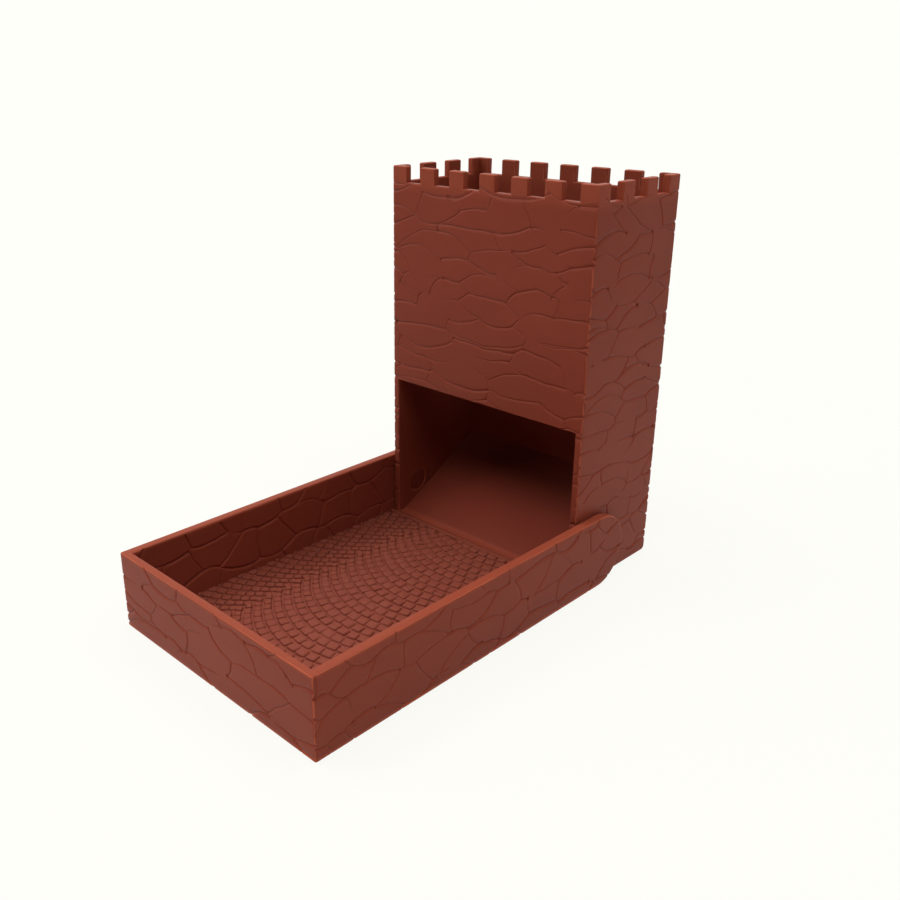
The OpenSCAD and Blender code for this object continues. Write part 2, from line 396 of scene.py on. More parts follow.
# Painted highlight on the level sill, which catches more light than the ramp
sill_painted_highlight = (floor_top + 0.9 * MM, floor_top + 0.4 * MM, PAINTED_SILL_HIGHLIGHT)
tower_plastic = brick_plastic(
    "tower_brick_plastic", BRICK_LIGHT, BRICK_DARK, WALL_ROUGHNESS, [merlon_painted_glow])
tray_plastic = brick_plastic(
    "tray_brick_plastic", BRICK_LIGHT, BRICK_DARK, WALL_ROUGHNESS, [rim_painted_glow, foot_painted_glow])
paving_plastic = brick_plastic(
    "paving_brick_plastic", SETT_LIGHT, SETT_DARK, SETT_ROUGHNESS, [], SETT_GRIT)
smooth_plastic = brick_plastic(
    "smooth_brick_plastic", RAMP_LIGHT, RAMP_DARK, RAMP_ROUGHNESS, [sill_painted_highlight])

# %% [markdown]
# ## Masonry joints
# On the real walls the stones are flat and flush, and only the joints between them are sunk: thin
# lines that bow and wander, vary in depth and sometimes stop short. So the joints are what is modelled.
# One point is thrown for each stone. Lifted on to a bowl and wrapped in a hull, the points show which of
# them are neighbours, and the slope of each facet of the hull gives the corner where three stones meet.
# The borders between stones become curves, a star-shaped bar is swept along each, and the bars are cut
# out of the wall. The tree's inputs are real sizes, counts and chances.

# %% Tree helpers
MASONRY_INPUTS = [
    ("Centre", "NodeSocketVector"), ("Right", "NodeSocketVector"), ("Normal", "NodeSocketVector"),
    ("Stone length", "NodeSocketFloat"), ("Stone height", "NodeSocketFloat"),
    ("Stones across", "NodeSocketInt"), ("Stones up", "NodeSocketInt"), ("Coursing", "NodeSocketFloat"),
    ("Scatter", "NodeSocketVector"), ("Merged", "NodeSocketFloat"), ("Bow", "NodeSocketFloat"),
    ("Wander", "NodeSocketFloat"),
    ("Joint section", "NodeSocketVector"), ("Shoulder", "NodeSocketFloat"), ("Notch", "NodeSocketFloat"),
    ("Upright fade", "NodeSocketFloat"), ("Missing", "NodeSocketFloat"), ("Broken", "NodeSocketFloat"),
    ("Half size", "NodeSocketVector"), ("Overrun", "NodeSocketVector"),
    ("Seed", "NodeSocketInt"), ("Material", "NodeSocketMaterial"),
]


def start_tree(name, inputs):
    """A geometry tree with named inputs. Returns the tree and its inputs' sockets by name."""
    tree = bpy.data.node_groups.new(name, "GeometryNodeTree")
    tree.interface.new_socket("Geometry", in_out="INPUT", socket_type="NodeSocketGeometry")
    for label, kind in inputs:
        tree.interface.new_socket(label, in_out="INPUT", socket_type=kind)
    tree.interface.new_socket("Geometry", in_out="OUTPUT", socket_type="NodeSocketGeometry")
    given = add_node(tree, "NodeGroupInput").outputs
    return tree, {socket.name: socket for socket in given if socket.name}


def end_tree(tree, geometry, material):
    """Closes a tree: instances become real, and the material goes on."""
    real = add_node(tree, "GeometryNodeRealizeInstances", {"Geometry": geometry})
    painted = add_node(tree, "GeometryNodeSetMaterial", {"Geometry": real, "Material": material})
    add_node(tree, "NodeGroupOutput", {"Geometry": painted})
    return tree


def apply_tree(piece, tree, values):
    """Adds a tree to a piece as a modifier and sets its inputs by their identifiers."""
    modifier = piece.modifiers.new(tree.name, "NODES")
    modifier.node_group = tree
    for item in tree.interface.items_tree:
        if item.in_out == "INPUT" and item.name in values:
            modifier[item.identifier] = values[item.name]
    return piece


# %% Masonry tree
# Facets of the hull that lean up more than this are its lid. Corners of the net that lie farther out
# than this share of the field are strays
LID_SLOPE = -0.001
FARTHEST = 0.75
CURVE_STEP = 0.9 * MM
# A hump of along times what is left peaks at a quarter, so four times it peaks at one
HUMP_SCALE = 4.0
SWAY_SIZE = 7 * MM
STUB = 1.5 * MM
# Where a joint that stops short ends, how it tapers, how others widen at their ends, and how all vary
STOP_FROM = 0.4
STOP_TO = 0.85
TAPER = -0.65
PIT = 0.1
PIT_POWER = 6.0
THINNEST = 0.6
THICKEST = 1.2
NOTCH_REACH = 3 * MM


def masonry_tree():
    """A tree that lays one face's net of stones and cuts the joints between them out of the wall."""
    tree, given = start_tree("masonry_joints", MASONRY_INPUTS)
    across, up, seed = given["Stones across"], given["Stones up"], given["Seed"]

    # One point for each stone, in units of a stone: half a stone over in every other row, then scattered
    grid = add_node(tree, "GeometryNodeMeshGrid", {
        "Size X": across, "Size Y": up, "Vertices X": across, "Vertices Y": up})
    number = add_node(tree, "GeometryNodeInputIndex")
    row = add_node(tree, MATH, {0: number, 1: up}, operation="MODULO")
    odd = add_node(tree, MATH, {0: row, 1: 2.0}, operation="MODULO")
    half = add_node(tree, MATH, {0: odd, 1: 0.5}, operation="MULTIPLY")
    bond = add_node(tree, COMBINE, {"X": half})
    chance = add_node(tree, RANDOM, {
        "Min": (-1, -1, 0), "Max": (1, 1, 0), "Seed": seed}, data_type="FLOAT_VECTOR")
    thrown = add_node(tree, VECTOR_MATH, {
        0: chance, 1: given["Scatter"]}, operation="MULTIPLY")
    moved = add_node(tree, VECTOR_MATH, {0: bond, 1: thrown}, operation="ADD")
    loose = add_node(tree, "GeometryNodeSetPosition", {"Geometry": grid, "Offset": moved})
    merged = add_node(tree, RANDOM, {
        "Probability": given["Merged"], "Seed": seed}, data_type="BOOLEAN")
    stones = add_node(tree, "GeometryNodeDeleteGeometry", {
        "Geometry": loose, "Selection": merged}, domain="POINT")

    # The bowl and its hull; only the hull's underside tells the neighbours. Rows that are pulled apart
    # first and pressed together after it run straighter, as courses of stone do
    stretch = add_node(tree, COMBINE, {"X": 1.0, "Y": given["Coursing"], "Z": 1.0})
    pulled = add_node(tree, "GeometryNodeTransform", {"Geometry": stones, "Scale": stretch})
    spot = add_node(tree, "GeometryNodeInputPosition")
    rise = add_node(tree, VECTOR_MATH, {0: spot, 1: spot}, operation="DOT_PRODUCT")
    lift = add_node(tree, COMBINE, {"Z": rise})
    bowl = add_node(tree, "GeometryNodeSetPosition", {"Geometry": pulled, "Offset": lift})
    hull = add_node(tree, "GeometryNodeConvexHull", {"Geometry": bowl})
    facing = add_node(tree, "GeometryNodeInputNormal")
    upward = add_node(tree, SEPARATE, {0: facing}).outputs["Z"]
    lid = add_node(tree, MATH, {0: upward, 1: LID_SLOPE}, operation="GREATER_THAN")
    under = add_node(tree, "GeometryNodeDeleteGeometry", {
        "Geometry": hull, "Selection": lid}, domain="FACE")
    noted = add_node(tree, "GeometryNodeStoreNamedAttribute", {
        "Geometry": under, "Name": "facing", "Value": facing}, data_type="FLOAT_VECTOR", domain="FACE")
    cells = add_node(tree, "GeometryNodeDualMesh", {"Mesh": noted})

    # Each corner of the net goes where the slope of its facet says
    slope = add_node(tree, "GeometryNodeInputNamedAttribute", {"Name": "facing"}, data_type="FLOAT_VECTOR")
    fall = add_node(tree, SEPARATE, {0: slope}).outputs["Z"]
    factor = add_node(tree, MATH, {0: -0.5, 1: fall}, operation="DIVIDE")
    corner = add_node(tree, VECTOR_MATH, {0: slope, "Scale": factor}, operation="SCALE")
    pressed = add_node(tree, VECTOR_MATH, {0: corner, 1: stretch}, operation="DIVIDE")
    stone = add_node(tree, COMBINE, {
        "X": given["Stone length"], "Y": given["Stone height"]})
    placed = add_node(tree, VECTOR_MATH, {0: pressed, 1: stone}, operation="MULTIPLY")
    field = add_node(tree, COMBINE, {"X": across, "Y": up, "Z": 1.0})
    share = add_node(tree, VECTOR_MATH, {0: pressed, 1: field}, operation="DIVIDE")
    flat = add_node(tree, VECTOR_MATH, {0: share, 1: (1, 1, 0)}, operation="MULTIPLY")
    reach = add_node(tree, VECTOR_MATH, {0: flat}, operation="LENGTH")
    astray = add_node(tree, MATH, {0: reach, 1: FARTHEST}, operation="GREATER_THAN")
    near = add_node(tree, "GeometryNodeDeleteGeometry", {
        "Geometry": cells, "Selection": astray}, domain="POINT")
    net = add_node(tree, "GeometryNodeSetPosition", {"Geometry": near, "Position": placed})
    all_borders = add_node(tree, "GeometryNodeMeshToCurve", {"Mesh": net})
    missing = add_node(tree, RANDOM, {
        "Probability": given["Missing"], "Seed": seed}, data_type="BOOLEAN")
    borders = add_node(tree, "GeometryNodeDeleteGeometry", {
        "Geometry": all_borders, "Selection": missing}, domain="CURVE")

    # Each border bows to one side or the other, by up to a share of its length
    fine = add_node(tree, "GeometryNodeResampleCurve", {
        "Curve": borders, "Length": CURVE_STEP}, mode="LENGTH")
    along = add_node(tree, "GeometryNodeSplineParameter").outputs["Factor"]
    length = add_node(tree, "GeometryNodeSplineLength").outputs["Length"]
    heading = add_node(tree, "GeometryNodeInputTangent")
    curve_number = add_node(tree, "GeometryNodeCurveOfPoint").outputs["Curve Index"]
    most = add_node(tree, MATH, {0: length, 1: given["Bow"]}, operation="MULTIPLY")
    bend = add_node(tree, RANDOM, {
        "Min": -HUMP_SCALE, "Max": HUMP_SCALE, "Seed": seed, "ID": curve_number}, data_type="FLOAT")
    from_end = add_node(tree, MATH, {0: 1.0, 1: along}, operation="SUBTRACT")
    hump = add_node(tree, MATH, {0: along, 1: from_end}, operation="MULTIPLY")
    bent = add_node(tree, MATH, {0: hump, 1: bend}, operation="MULTIPLY")
    aside = add_node(tree, MATH, {0: bent, 1: most}, operation="MULTIPLY")
    sideways = add_node(tree, VECTOR_MATH, {
        0: (0, 0, 1), 1: heading}, operation="CROSS_PRODUCT")
    swerve = add_node(tree, VECTOR_MATH, {0: sideways, "Scale": aside}, operation="SCALE")
    bowed = add_node(tree, "GeometryNodeSetPosition", {"Geometry": fine, "Offset": swerve})

    # The borders wander a little
    sway = add_node(tree, "ShaderNodeTexNoise", {
        "Scale": 1 / SWAY_SIZE, "Detail": 1.0, "W": seed}, noise_dimensions="4D").outputs["Color"]
    centred = add_node(tree, VECTOR_MATH, {0: sway, 1: (0.5, 0.5, 0.5)}, operation="SUBTRACT")
    level = add_node(tree, VECTOR_MATH, {0: centred, 1: (1, 1, 0)}, operation="MULTIPLY")
    drift = add_node(tree, VECTOR_MATH, {0: level, "Scale": given["Wander"]}, operation="SCALE")
    swayed = add_node(tree, "GeometryNodeSetPosition", {"Geometry": bowed, "Offset": drift})

    # What runs past the face by more than the overrun is left out, stubs go, and some borders stop short
    from_centre = add_node(tree, VECTOR_MATH, {0: spot}, operation="ABSOLUTE")
    to_edge = add_node(tree, VECTOR_MATH, {
        0: given["Half size"], 1: from_centre}, operation="SUBTRACT")
    slack = add_node(tree, VECTOR_MATH, {0: to_edge, 1: given["Overrun"]}, operation="ADD")
    slack_x, slack_y = add_node(tree, SEPARATE, {0: slack}).outputs[:2]
    least = add_node(tree, MATH, {0: slack_x, 1: slack_y}, operation="MINIMUM")
    outside = add_node(tree, MATH, {0: least, 1: 0.0}, operation="LESS_THAN")
    inside = add_node(tree, "GeometryNodeDeleteGeometry", {
        "Geometry": swayed, "Selection": outside}, domain="POINT")
    stub = add_node(tree, MATH, {0: length, 1: STUB}, operation="LESS_THAN")
    wavy = add_node(tree, "GeometryNodeDeleteGeometry", {
        "Geometry": inside, "Selection": stub}, domain="CURVE")
    stops = add_node(tree, RANDOM, {
        "Probability": given["Broken"], "Seed": seed}, data_type="BOOLEAN")
    marked = add_node(tree, "GeometryNodeStoreNamedAttribute", {
        "Geometry": wavy, "Name": "broken", "Value": stops}, data_type="BOOLEAN", domain="CURVE")
    broken = add_node(tree, "GeometryNodeInputNamedAttribute", {"Name": "broken"}, data_type="BOOLEAN")
    stop = add_node(tree, RANDOM, {
        "Min": STOP_FROM, "Max": STOP_TO, "Seed": seed}, data_type="FLOAT")
    short = add_node(tree, "GeometryNodeTrimCurve", {
        "Curve": marked, "Selection": broken, "End": stop}, mode="FACTOR")
    upright = add_node(tree, "GeometryNodeSetCurveNormal", {"Curve": short}, mode="Z_UP")

    # A bar along each border: wider where stones meet and at the face's foot and corners, thinner by
    # chance, where the border runs upright, and towards an end that stops short
    from_middle = add_node(tree, MATH, {0: along, 1: 2.0, 2: -1.0}, operation="MULTIPLY_ADD")
    to_end = add_node(tree, MATH, {0: from_middle, 1: PIT_POWER}, operation="POWER")
    pit = add_node(tree, MATH, {0: to_end, 1: PIT, 2: 1.0}, operation="MULTIPLY_ADD")
    taper = add_node(tree, MATH, {0: along, 1: TAPER, 2: 1.0}, operation="MULTIPLY_ADD")
    ends = add_node(tree, "ShaderNodeMix", {"Factor": broken, "A": pit, "B": taper}, data_type="FLOAT")
    size = add_node(tree, RANDOM, {
        "Min": THINNEST, "Max": THICKEST, "Seed": seed, "ID": curve_number}, data_type="FLOAT")
    climb = add_node(tree, SEPARATE, {0: heading}).outputs["Y"]
    steep = add_node(tree, MATH, {0: climb}, operation="ABSOLUTE")
    lost = add_node(tree, MATH, {0: steep, 1: given["Upright fade"]}, operation="MULTIPLY")
    left = add_node(tree, MATH, {0: 1.0, 1: lost}, operation="SUBTRACT")
    worn = add_node(tree, MATH, {0: size, 1: left}, operation="MULTIPLY")
    shaped = add_node(tree, MATH, {0: worn, 1: ends}, operation="MULTIPLY")
    to_corner = add_node(tree, SEPARATE, {0: to_edge}).outputs["X"]
    over_foot = add_node(tree, VECTOR_MATH, {0: spot, 1: given["Half size"]}, operation="ADD")
    to_foot = add_node(tree, SEPARATE, {0: over_foot}).outputs["Y"]
    nearest = add_node(tree, MATH, {0: to_corner, 1: to_foot}, operation="MINIMUM")
    notch = add_node(tree, "ShaderNodeMapRange", {
        "Value": nearest, "From Min": 0.0, "From Max": NOTCH_REACH,
        "To Min": given["Notch"], "To Max": 1.0})
    scale = add_node(tree, MATH, {0: shaped, 1: notch}, operation="MULTIPLY")

    # Its section is a star with four points, so that the joint is a deep line between soft shoulders
    star = add_node(tree, "GeometryNodeCurveStar", {
        "Points": 4, "Inner Radius": given["Shoulder"], "Outer Radius": 1.0}).outputs["Curve"]
    gouge = add_node(tree, "GeometryNodeTransform", {"Geometry": star, "Scale": given["Joint section"]})
    bars = add_node(tree, "GeometryNodeCurveToMesh", {
        "Curve": upright, "Profile Curve": gouge, "Scale": scale, "Fill Caps": True})

    # The bars laid on the wall's face and cut out of it, each bar by itself
    turn = add_node(tree, "FunctionNodeAxesToRotation", {
        0: given["Normal"], 1: given["Right"]}, primary_axis="Z", secondary_axis="X")
    laid = add_node(tree, "GeometryNodeTransform", {
        "Geometry": bars, "Translation": given["Centre"], "Rotation": turn})
    island = add_node(tree, "GeometryNodeInputMeshIsland").outputs["Island Index"]
    single = add_node(tree, "GeometryNodeSplitToInstances", {
        "Geometry": laid, "Group ID": island}, domain="FACE")
    carved = add_node(tree, "GeometryNodeMeshBoolean", {
        "Mesh 1": given["Geometry"], "Mesh 2": single}, operation="DIFFERENCE", solver="MANIFOLD")
    return end_tree(tree, carved, given["Material"])


masonry = masonry_tree()
print("masonry tree", len(masonry.nodes), "nodes")

# %% [markdown]
# ## Wall faces
# Each face of each wall gets its own net of stones. The tower's front and back stones are drawn out
# sideways, over two to one, and their upright joints are faint. The sides have blockier stones, and the
# tray's are rounder, with long slabs in front and squarer blocks inside.

# %% Masonry on a face
OVERRUN = (3 * MM, 1.5 * MM, 0)
NO_OVERRUN = (0, 0, 0)
SPARE_STONES = 4
JOINT = {
    "Joint section": (0.9 * MM, 0.38 * MM, 1), "Shoulder": 0.52, "Notch": 1.5, "Bow": 0.14,
    "Wander": 1.6 * MM, "Missing": 0.06, "Merged": 0.06}
DRAWN_OUT = dict(JOINT, **{
    "Stone length": 15 * MM, "Stone height": 6.2 * MM, "Coursing": 1.4, "Scatter": (0.6, 0.5, 0),
    "Upright fade": 0.5, "Broken": 0.2})
BLOCKY = dict(JOINT, **{
    "Stone length": 11.5 * MM, "Stone height": 6.8 * MM, "Coursing": 1.7, "Scatter": (0.5, 0.4, 0),
    "Upright fade": 0.35, "Broken": 0.15, "Missing": 0.04, "Merged": 0.04})
RUBBLE = dict(JOINT, **{
    "Stone length": 11 * MM, "Stone height": 7 * MM, "Coursing": 1.3, "Scatter": (0.5, 0.45, 0),
    "Upright fade": 0.1, "Broken": 0.12, "Missing": 0.03, "Merged": 0.03})
SLABS = dict(RUBBLE, **{"Stone length": 15 * MM, "Stone height": 6.2 * MM})
SQUARED = dict(JOINT, **{
    "Stone length": 11 * MM, "Stone height": 9.5 * MM, "Coursing": 1.4, "Scatter": (0.4, 0.25, 0),
    "Upright fade": 0.0, "Broken": 0.08, "Joint section": (0.9 * MM, 0.45 * MM, 1), "Bow": 0.1,
    "Missing": 0.0, "Merged": 0.0})


def lay_stones(piece, finish, style, seed, centre, right, normal, size, overrun=OVERRUN):
    """Adds one face's net of joints to a wall. Joints run past the face's edges by the overrun."""
    width, height = size
    values = dict(style)
    values["Centre"], values["Right"], values["Normal"] = centre, right, normal
    values["Stones across"] = math.ceil(width / style["Stone length"]) + SPARE_STONES
    values["Stones up"] = math.ceil(height / style["Stone height"]) + SPARE_STONES
    values["Half size"] = (width / 2, height / 2, 1)
    values["Overrun"] = overrun
    values["Seed"] = seed
    values["Material"] = finish
    apply_tree(piece, masonry, values)


# %% [markdown]
# ## Tower
# All four walls are moulded in one, so that stones run round the corners with no seam, and then cut
# apart along the panel lines: two full side walls, and a front and a back panel between them.

# %% Tower shell
TOWER_EDGE = 0.45 * MM
OVER = 5 * MM
FOOT_STEPS = 5
BORE_SIDES = 60


def merlon_gaps(low, high, count):
    """The places of the gaps between a row of merlons, which are as wide as the merlons."""
    unit = (high - low) / (2 * count - 1)
    return [(low + (2 * i + 1) * unit, low + (2 * i + 2) * unit) for i in range(count - 1)]


def tower_shell():
    """The tower's four walls in one, hollow, with its mouth, merlons and hinge bores."""
    feet = arc((tower_y + FOOT_R, FOOT_R), FOOT_R, 180, 270, FOOT_STEPS)
    feet += arc((rear_y - FOOT_R, FOOT_R), FOOT_R, 270, 360, FOOT_STEPS)
    outline = feet + [(rear_y, tower_h), (tower_y, tower_h)]
    made = prism("tower_shell", outline, along_x, -tower_x, tower_x)
    top = tower_h + OVER
    cuts = [
        block("inside", (-tower_in_x, tower_y + tower_wall, -OVER), (tower_in_x, rear_y - tower_wall, top)),
        block("mouth", (-tower_in_x, tower_y - OVER, -OVER),
              (tower_in_x, tower_y + 2 * tower_wall, mouth_z)),
    ]
    for near, far in merlon_gaps(-tower_x, tower_x, FRONT_MERLONS):
        cuts.append(block("gap", (near, tower_y - OVER, crenel_z), (far, rear_y + OVER, top)))
    for near, far in merlon_gaps(tower_y, rear_y, SIDE_MERLONS):
        cuts.append(block("gap", (-tower_x - OVER, near, crenel_z), (tower_x + OVER, far, top)))
    steps = BORE_SIDES - 1
    ring = arc((hinge.y, hinge.z), BORE_R, 0, 360 * steps / BORE_SIDES, steps)
    cuts.append(prism("bore", ring, along_x, -tower_x - OVER, tower_x + OVER))
    combine(made, "DIFFERENCE", *cuts)
    return soften(made, TOWER_EDGE)


def split(shell, name, low, high):
    """The part of a shell that lies in a box, as a piece of its own."""
    piece = shell.copy()
    piece.data = shell.data.copy()
    piece.name = name
    bpy.context.scene.collection.objects.link(piece)
    return combine(piece, "INTERSECT", block("keep", low, high), solver="MANIFOLD")


shell = tower_shell()
half_h = crenel_z / 2
mid_y = (tower_y + rear_y) / 2
front_size = (2 * tower_x, crenel_z)
side_size = (rear_y - tower_y, crenel_z)
lay_stones(shell, tower_plastic, DRAWN_OUT, 11, (0, tower_y, half_h), (1, 0, 0), (0, -1, 0), front_size)
lay_stones(shell, tower_plastic, DRAWN_OUT, 12, (0, rear_y, half_h), (-1, 0, 0), (0, 1, 0), front_size)
lay_stones(shell, tower_plastic, BLOCKY, 41, (tower_x, mid_y, half_h), (0, 1, 0), (1, 0, 0), side_size)
lay_stones(shell, tower_plastic, BLOCKY, 14, (-tower_x, mid_y, half_h), (0, -1, 0), (-1, 0, 0), side_size)
freeze(shell)
print("tower shell", len(shell.data.polygons), "faces")

FAR = 1.0
tower_pieces = {
    "tower_left_wall": split(shell, "left_masonry", (-FAR, -FAR, -FAR), (-tower_in_x, FAR, FAR)),
    "tower_right_wall": split(shell, "right_masonry", (tower_in_x, -FAR, -FAR), (FAR, FAR, FAR)),
    "tower_front_wall": split(shell, "front_masonry", (-tower_in_x, -FAR, -FAR), (tower_in_x, mid_y, FAR)),
    "tower_back_wall": split(shell, "back_masonry", (-tower_in_x, mid_y, -FAR), (tower_in_x, FAR, FAR)),
}
discard(shell)
for node_name, piece in tower_pieces.items():
    mark_edges(piece)
    finish_piece(piece, "tower", node_name)

# %% [markdown]
# ## Tray walls
# The tray is made the same way: a long box with round ears at the rear, hollowed out, edged, carved
# outside and inside, and cut apart into a front wall and two side walls.

# %% Tray walls
TRAY_EDGE = 0.55 * MM
EAR_STEPS = 60


def tray_shell():
    """The tray's three walls in one, with the round ears at the rear."""
    ear_r = tray_h / 2
    outline = arc((hinge.y, ear_r), ear_r, -90, 90, EAR_STEPS) + [(front_y, tray_h), (front_y, 0)]
    made = prism("tray_shell", outline, along_x, -tray_x, tray_x)
    low, high = (-tray_in_x, front_in_y, -OVER), (tray_in_x, ear_end_y + OVER, tray_h + OVER)
    combine(made, "DIFFERENCE", block("inside", low, high))
    return soften(made, TRAY_EDGE)


shell = tray_shell()
mid_y = (front_y + ear_end_y) / 2
half_h = tray_h / 2
inner_y = (front_in_y + ear_end_y) / 2
end_size = (2 * tray_x, tray_h)
side_size = (ear_end_y - front_y, tray_h)
inner_end_size = (2 * tray_in_x, tray_h)
inner_side_size = (ear_end_y - front_in_y, tray_h)
for seed, style, centre, right, normal, size, overrun in (
        (21, SLABS, (0, front_y, half_h), (1, 0, 0), (0, -1, 0), end_size, OVERRUN),
        (22, RUBBLE, (tray_x, mid_y, half_h), (0, 1, 0), (1, 0, 0), side_size, OVERRUN),
        (23, RUBBLE, (-tray_x, mid_y, half_h), (0, -1, 0), (-1, 0, 0), side_size, OVERRUN),
        (24, SQUARED, (-tray_in_x, inner_y, half_h), (0, 1, 0), (1, 0, 0), inner_side_size, NO_OVERRUN),
        (25, SQUARED, (tray_in_x, inner_y, half_h), (0, -1, 0), (-1, 0, 0), inner_side_size, NO_OVERRUN),
        (26, SQUARED, (0, front_in_y, half_h), (-1, 0, 0), (0, 1, 0), inner_end_size, NO_OVERRUN)):
    lay_stones(shell, tray_plastic, style, seed, centre, right, normal, size, overrun)
freeze(shell)
tray_pieces = {
    "tray_left_wall": split(shell, "tray_left_masonry", (-FAR, -FAR, -FAR), (-tray_in_x, FAR, FAR)),
    "tray_right_wall": split(shell, "tray_right_masonry", (tray_in_x, -FAR, -FAR), (FAR, FAR, FAR)),
    "tray_front_wall": split(shell, "tray_front_masonry", (-tray_in_x, -FAR, -FAR), (tray_in_x, FAR, FAR)),
}
discard(shell)
for node_name, piece in tray_pieces.items():
    mark_edges(piece)
    finish_piece(piece, "tray", node_name)

# %% [markdown]
# ## Paving
# The tray's floor is paved with small setts laid in segmental arcs: each row is an arc, the rows lie one
# behind another, and three columns of arcs stand side by side. One pillowed sett is modelled, and a tree
# lays it out by number: its place in the row gives the angle, its row the distance from the mouth. Rows
# draw together towards the ends of an arc, and the setts shrink with them, so they stay square. They
# differ a little in size, height and tilt, and are joined to a slab that shows in the joints. A narrow
# plain strip closes the paving off at the mouth.

# %% One sett
SETT_RINGS = [(0.0, -1.2), (0.0, -0.4), (0.04, -0.18), (0.12, -0.06), (0.26, 0.0)]
SETT_CORNER = 0.12


def sett():
    """One sett, a unit square in plan with its top at zero, with cut corners and a rounded top."""
    build = bmesh.new()
    rings = []
    for inset, depth in SETT_RINGS:
        half = 0.5 - inset
        side = half - SETT_CORNER
        ring = []
        for turn_x, turn_y in ((1, 0), (0, 1), (-1, 0), (0, -1)):
            for along in (-side, side):
                place = (half * turn_x - along * turn_y, half * turn_y + along * turn_x, depth * MM)
                ring.append(build.verts.new(place))
        rings.append(ring)
    build.faces.new(rings[0])
    build.faces.new(rings[-1])
    for lower, upper in zip(rings, rings[1:]):
        for i in range(len(lower)):
            build.faces.new((lower[i - 1], lower[i], upper[i], upper[i - 1]))
    bmesh.ops.recalc_face_normals(build, faces=build.faces)
    return new_piece("paving_setts", build)


# %% Paving tree
PAVING_INPUTS = [
    ("Setts in a row", "NodeSocketInt"), ("Rows", "NodeSocketInt"), ("Columns", "NodeSocketInt"),
    ("Column width", "NodeSocketFloat"), ("Arc radius", "NodeSocketFloat"),
    ("Half spread", "NodeSocketFloat"), ("Row pitch", "NodeSocketFloat"), ("Row joint", "NodeSocketFloat"),
    ("Cross joint", "NodeSocketFloat"), ("Start", "NodeSocketVector"), ("Uneven", "NodeSocketFloat"),
    ("Proud", "NodeSocketFloat"), ("Tilt", "NodeSocketFloat"), ("Slab size", "NodeSocketVector"),
    ("Slab centre", "NodeSocketVector"), ("Seed", "NodeSocketInt"), ("Material", "NodeSocketMaterial"),
]


SETT_SHIFT = 0.03
SMALLEST_SETT = (0.97, 0.96, 1)
LARGEST_SETT = (1.03, 1.02, 1)


